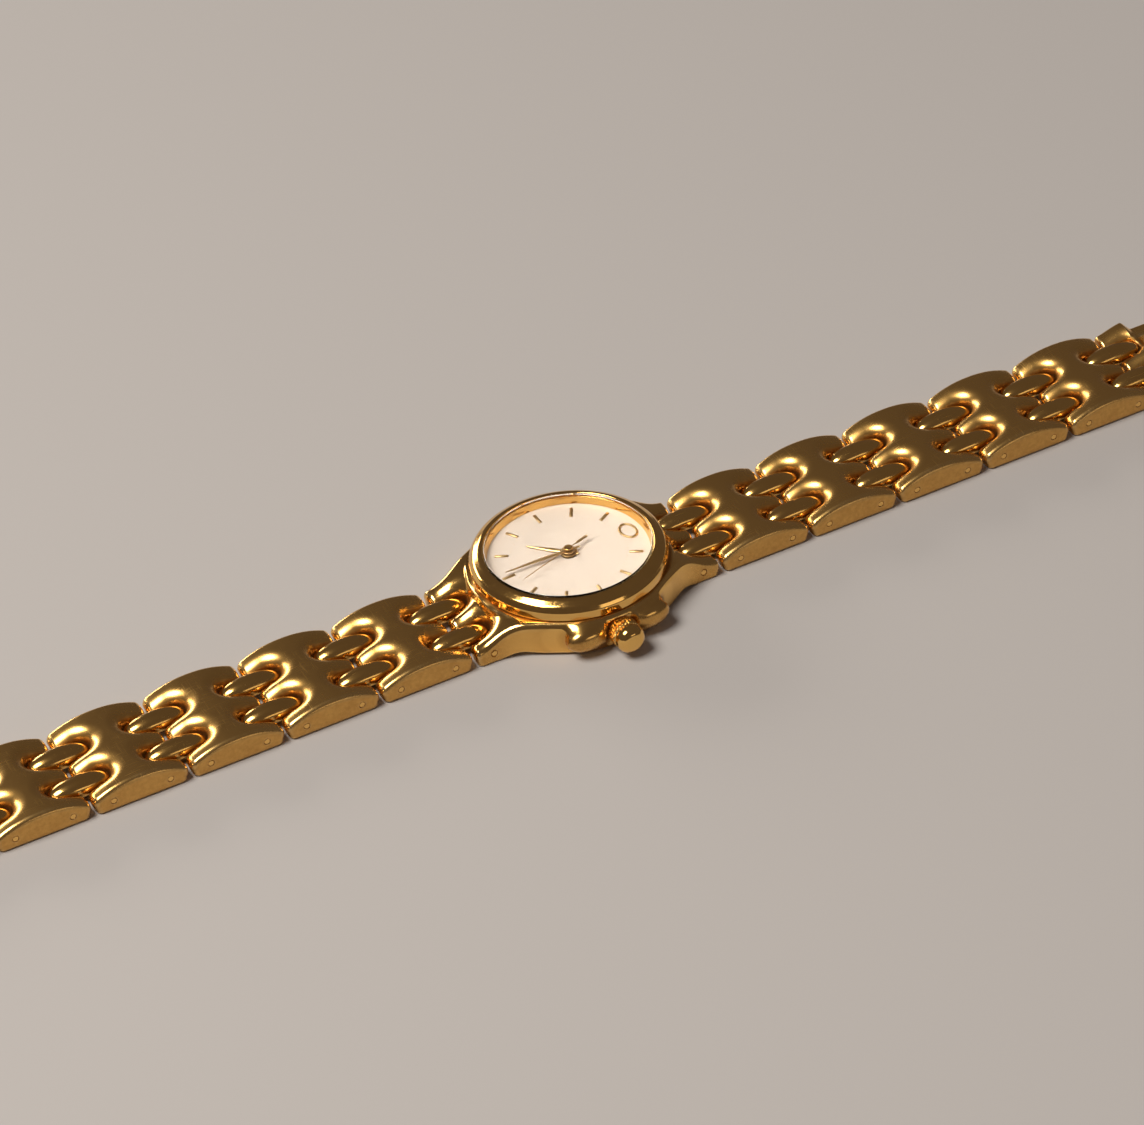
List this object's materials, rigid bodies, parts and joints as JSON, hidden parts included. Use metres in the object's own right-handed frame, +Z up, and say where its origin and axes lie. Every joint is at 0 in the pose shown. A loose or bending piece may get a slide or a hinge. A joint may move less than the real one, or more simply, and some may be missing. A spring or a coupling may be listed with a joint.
{
  "type": "analogue bracelet wristwatch",
  "caption": "Small round gold-tone quartz wristwatch with white dial, domed bezel, guarded crown, and an open bracelet of three-bar links joined by oval beads, with a fold-over clasp.",
  "frame": {"origin": "centre of the case back's flat outer face, which is also the plane the watch lies on", "axes": "+X along the bracelet towards 12 o'clock, +Y towards 9 o'clock (the crown points along -Y), +Z up out of the dial"},
  "size_m": [0.177, 0.0264, 0.0066],
  "materials": {
    "case_gold": "polished yellow gold plate",
    "bracelet_gold": "polished yellow gold plate with fine wear",
    "hand_gold": "polished gold",
    "crystal_glass": "clear polished mineral glass",
    "dial_lacquer": "satin off-white lacquer with applied gold markers",
    "back_steel": "brushed stainless steel",
    "gasket_nylon": "translucent amber nylon",
    "gasket_rubber": "matt black",
    "movement_brass": "satin machined brass",
    "movement_steel": "satin machined steel",
    "coil_copper": "enamelled copper wire",
    "circuit_green": "solder-masked board",
    "holder_plastic": "moulded ivory plastic"
  },
  "bodies": {
    "watch_head": {"case_body": "case_gold", "bezel": "case_gold", "crystal": "crystal_glass", "crystal_gasket": "gasket_nylon", "flange_ring": "case_gold", "dial": "dial_lacquer", "case_back": "back_steel", "case_back_gasket": "gasket_rubber", "crown_tube": "movement_brass", "movement_holder": "holder_plastic", "main_plate": "movement_brass", "train_bridge": "movement_steel", "battery_cell": "movement_steel", "battery_clamp": "movement_steel", "coil": "coil_copper", "stator": "movement_steel", "circuit_board": "circuit_green"},
    "seconds": {"seconds_hand": "hand_gold", "seconds_wheel": "movement_brass"},
    "minutes": {"minute_hand": "hand_gold", "centre_wheel": "movement_brass"},
    "hours": {"hour_hand": "hand_gold", "hour_wheel": "movement_brass"},
    "motion_wheel": {"minute_wheel": "movement_brass"},
    "third": {"third_wheel": "movement_brass"},
    "step": {"step_wheel": "movement_brass"},
    "motor_rotor": {"rotor": "movement_steel"},
    "crown_carriage": {"setting_yoke": "movement_steel"},
    "winding_crown": {"crown": "case_gold", "crown_stem": "movement_steel"},
    "bead_pair_top_1": {"beads_top_1": "bracelet_gold"},
    "link_top_1": {"link_top_1": "bracelet_gold"},
    "bead_pair_top_2": {"beads_top_2": "bracelet_gold"},
    "link_top_2": {"link_top_2": "bracelet_gold"},
    "bead_pair_top_3": {"beads_top_3": "bracelet_gold"},
    "link_top_3": {"link_top_3": "bracelet_gold"},
    "bead_pair_top_4": {"beads_top_4": "bracelet_gold"},
    "link_top_4": {"link_top_4": "bracelet_gold"},
    "bead_pair_top_5": {"beads_top_5": "bracelet_gold"},
    "link_top_5": {"link_top_5": "bracelet_gold"},
    "bead_pair_top_6": {"beads_top_6": "bracelet_gold"},
    "end_link": {"end_link": "bracelet_gold"},
    "bead_pair_bottom_1": {"beads_bottom_1": "bracelet_gold"},
    "link_bottom_1": {"link_bottom_1": "bracelet_gold"},
    "bead_pair_bottom_2": {"beads_bottom_2": "bracelet_gold"},
    "link_bottom_2": {"link_bottom_2": "bracelet_gold"},
    "bead_pair_bottom_3": {"beads_bottom_3": "bracelet_gold"},
    "link_bottom_3": {"link_bottom_3": "bracelet_gold"},
    "bead_pair_bottom_4": {"beads_bottom_4": "bracelet_gold"},
    "link_bottom_4": {"link_bottom_4": "bracelet_gold"},
    "bead_pair_bottom_5": {"beads_bottom_5": "bracelet_gold"},
    "link_bottom_5": {"link_bottom_5": "bracelet_gold"},
    "bead_pair_bottom_6": {"beads_bottom_6": "bracelet_gold"},
    "clasp_base": {"clasp_base": "bracelet_gold", "clasp_pin": "bracelet_gold"},
    "clasp_cover": {"clasp_cover": "bracelet_gold"}
  },
  "joints": [
    {"name": "seconds_turn", "type": "hinge", "parent": "watch_head", "child": "seconds", "pos_m": [0, 0, 0.0047], "axis": [0, 0, -1], "continuous": true},
    {"name": "minutes_turn", "type": "hinge", "parent": "watch_head", "child": "minutes", "pos_m": [0, 0, 0.0047], "axis": [0, 0, -1], "continuous": true},
    {"name": "hours_turn", "type": "hinge", "parent": "watch_head", "child": "hours", "pos_m": [0, 0, 0.0047], "axis": [0, 0, -1], "continuous": true},
    {"name": "motion_wheel_turn", "type": "hinge", "parent": "watch_head", "child": "motion_wheel", "pos_m": [0.0014, 0.00242, 0.0038], "axis": [0, 0, -1], "continuous": true},
    {"name": "third_wheel_turn", "type": "hinge", "parent": "watch_head", "child": "third", "pos_m": [-0.00067, -0.00183, 0.0024], "axis": [0, 0, -1], "continuous": true},
    {"name": "step_wheel_turn", "type": "hinge", "parent": "watch_head", "child": "step", "pos_m": [0.00146, -0.00122, 0.0021], "axis": [0, 0, -1], "continuous": true},
    {"name": "rotor_turn", "type": "hinge", "parent": "watch_head", "child": "motor_rotor", "pos_m": [0.0025, -0.00182, 0.0026], "axis": [0, 0, -1], "continuous": true},
    {"name": "crown_pull", "type": "slide", "parent": "watch_head", "child": "crown_carriage", "axis": [0, -1, 0], "range_m": [0, 0.0006]},
    {"name": "crown_turn", "type": "hinge", "parent": "crown_carriage", "child": "winding_crown", "pos_m": [0, -0.013, 0.0024], "axis": [0, -1, 0], "continuous": true},
    {"name": "pin_top_1_inner", "type": "hinge", "parent": "watch_head", "child": "bead_pair_top_1", "pos_m": [0.01295, 0, 0.00125], "axis": [0, 1, 0], "range_deg": [-3, 15]},
    {"name": "pin_top_1_outer", "type": "hinge", "parent": "bead_pair_top_1", "child": "link_top_1", "pos_m": [0.01765, 0, 0.00125], "axis": [0, 1, 0], "range_deg": [-3, 15]},
    {"name": "pin_top_2_inner", "type": "hinge", "parent": "link_top_1", "child": "bead_pair_top_2", "pos_m": [0.02425, 0, 0.00125], "axis": [0, 1, 0], "range_deg": [-3, 15]},
    {"name": "pin_top_2_outer", "type": "hinge", "parent": "bead_pair_top_2", "child": "link_top_2", "pos_m": [0.02895, 0, 0.00125], "axis": [0, 1, 0], "range_deg": [-3, 15]},
    {"name": "pin_top_3_inner", "type": "hinge", "parent": "link_top_2", "child": "bead_pair_top_3", "pos_m": [0.03555, 0, 0.00125], "axis": [0, 1, 0], "range_deg": [-3, 15]},
    {"name": "pin_top_3_outer", "type": "hinge", "parent": "bead_pair_top_3", "child": "link_top_3", "pos_m": [0.04025, 0, 0.00125], "axis": [0, 1, 0], "range_deg": [-3, 15]},
    {"name": "pin_top_4_inner", "type": "hinge", "parent": "link_top_3", "child": "bead_pair_top_4", "pos_m": [0.04685, 0, 0.00125], "axis": [0, 1, 0], "range_deg": [-3, 15]},
    {"name": "pin_top_4_outer", "type": "hinge", "parent": "bead_pair_top_4", "child": "link_top_4", "pos_m": [0.05155, 0, 0.00125], "axis": [0, 1, 0], "range_deg": [-3, 15]},
    {"name": "pin_top_5_inner", "type": "hinge", "parent": "link_top_4", "child": "bead_pair_top_5", "pos_m": [0.05815, 0, 0.00125], "axis": [0, 1, 0], "range_deg": [-3, 15]},
    {"name": "pin_top_5_outer", "type": "hinge", "parent": "bead_pair_top_5", "child": "link_top_5", "pos_m": [0.06285, 0, 0.00125], "axis": [0, 1, 0], "range_deg": [-3, 15]},
    {"name": "pin_top_6_inner", "type": "hinge", "parent": "link_top_5", "child": "bead_pair_top_6", "pos_m": [0.06945, 0, 0.00125], "axis": [0, 1, 0], "range_deg": [-3, 15]},
    {"name": "pin_top_6_outer", "type": "hinge", "parent": "bead_pair_top_6", "child": "end_link", "pos_m": [0.07415, 0, 0.00125], "axis": [0, 1, 0], "range_deg": [-3, 15]},
    {"name": "pin_bottom_1_inner", "type": "hinge", "parent": "watch_head", "child": "bead_pair_bottom_1", "pos_m": [-0.01295, 0, 0.00125], "axis": [0, -1, 0], "range_deg": [-3, 15]},
    {"name": "pin_bottom_1_outer", "type": "hinge", "parent": "bead_pair_bottom_1", "child": "link_bottom_1", "pos_m": [-0.01765, 0, 0.00125], "axis": [0, -1, 0], "range_deg": [-3, 15]},
    {"name": "pin_bottom_2_inner", "type": "hinge", "parent": "link_bottom_1", "child": "bead_pair_bottom_2", "pos_m": [-0.02425, 0, 0.00125], "axis": [0, -1, 0], "range_deg": [-3, 15]},
    {"name": "pin_bottom_2_outer", "type": "hinge", "parent": "bead_pair_bottom_2", "child": "link_bottom_2", "pos_m": [-0.02895, 0, 0.00125], "axis": [0, -1, 0], "range_deg": [-3, 15]},
    {"name": "pin_bottom_3_inner", "type": "hinge", "parent": "link_bottom_2", "child": "bead_pair_bottom_3", "pos_m": [-0.03555, 0, 0.00125], "axis": [0, -1, 0], "range_deg": [-3, 15]},
    {"name": "pin_bottom_3_outer", "type": "hinge", "parent": "bead_pair_bottom_3", "child": "link_bottom_3", "pos_m": [-0.04025, 0, 0.00125], "axis": [0, -1, 0], "range_deg": [-3, 15]},
    {"name": "pin_bottom_4_inner", "type": "hinge", "parent": "link_bottom_3", "child": "bead_pair_bottom_4", "pos_m": [-0.04685, 0, 0.00125], "axis": [0, -1, 0], "range_deg": [-3, 15]},
    {"name": "pin_bottom_4_outer", "type": "hinge", "parent": "bead_pair_bottom_4", "child": "link_bottom_4", "pos_m": [-0.05155, 0, 0.00125], "axis": [0, -1, 0], "range_deg": [-3, 15]},
    {"name": "pin_bottom_5_inner", "type": "hinge", "parent": "link_bottom_4", "child": "bead_pair_bottom_5", "pos_m": [-0.05815, 0, 0.00125], "axis": [0, -1, 0], "range_deg": [-3, 15]},
    {"name": "pin_bottom_5_outer", "type": "hinge", "parent": "bead_pair_bottom_5", "child": "link_bottom_5", "pos_m": [-0.06285, 0, 0.00125], "axis": [0, -1, 0], "range_deg": [-3, 15]},
    {"name": "pin_bottom_6_inner", "type": "hinge", "parent": "link_bottom_5", "child": "bead_pair_bottom_6", "pos_m": [-0.06945, 0, 0.00125], "axis": [0, -1, 0], "range_deg": [-3, 15]},
    {"name": "pin_bottom_6_outer", "type": "hinge", "parent": "bead_pair_bottom_6", "child": "clasp_base", "pos_m": [-0.07415, 0, 0.00125], "axis": [0, -1, 0], "range_deg": [-3, 15]},
    {"name": "clasp_cover_fold", "type": "hinge", "parent": "clasp_base", "child": "clasp_cover", "pos_m": [-0.0784, 0, 0.0017], "axis": [0, 1, 0], "range_deg": [0, 110]}
  ],
  "couplings": [
    {"joint": "minutes_turn", "follows": "seconds_turn", "ratio": 0.016667},
    {"joint": "hours_turn", "follows": "seconds_turn", "ratio": 0.0013889},
    {"joint": "motion_wheel_turn", "follows": "seconds_turn", "ratio": -0.0055556},
    {"joint": "third_wheel_turn", "follows": "seconds_turn", "ratio": -0.13333},
    {"joint": "step_wheel_turn", "follows": "seconds_turn", "ratio": -6},
    {"joint": "rotor_turn", "follows": "seconds_turn", "ratio": 30}
  ]
}
